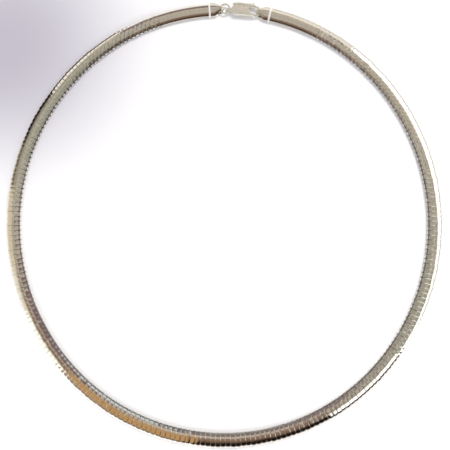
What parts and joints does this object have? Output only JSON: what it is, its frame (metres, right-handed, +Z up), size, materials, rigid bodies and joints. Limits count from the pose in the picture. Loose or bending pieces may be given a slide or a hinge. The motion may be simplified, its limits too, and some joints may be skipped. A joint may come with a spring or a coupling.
{
  "type": "omega necklace",
  "caption": "Stiff domed collar necklace of polished crimped plates on a mesh core, with tapered end caps and a sprung lobster clasp.",
  "frame": {"origin": "middle of the closed loop, on the surface that the collar lies on", "axes": "+Z up, out of the domed face; +Y towards the clasp at the back of the neck; -Y towards the wearer's front; +X to the right as seen from above"},
  "size_m": [0.1486, 0.1523, 0.0028],
  "materials": {
    "plates": "mirror polished silver",
    "mesh": "woven silver wire, darkened",
    "caps": "polished silver",
    "ring": "polished silver wire",
    "clasp": "polished silver casting",
    "pin": "riveted silver wire"
  },
  "bodies": {
    "collar": {"plates_left": "plates", "plates_right": "plates", "mesh_core": "mesh", "end_cap_left": "caps", "end_cap_right": "caps", "jump_ring": "ring", "clasp_body": "clasp", "lever_pin": "pin"},
    "lever": {"clasp_lever": "clasp"}
  },
  "joints": [
    {"name": "lever_swing", "type": "hinge", "parent": "collar", "child": "lever", "pos_m": [0.01031, 0.0744, 0.0012], "axis": [0, 0, -1], "range_deg": [0, 25], "stiffness_Nm_per_rad": 0.0004, "springref_deg": -17.19}
  ]
}
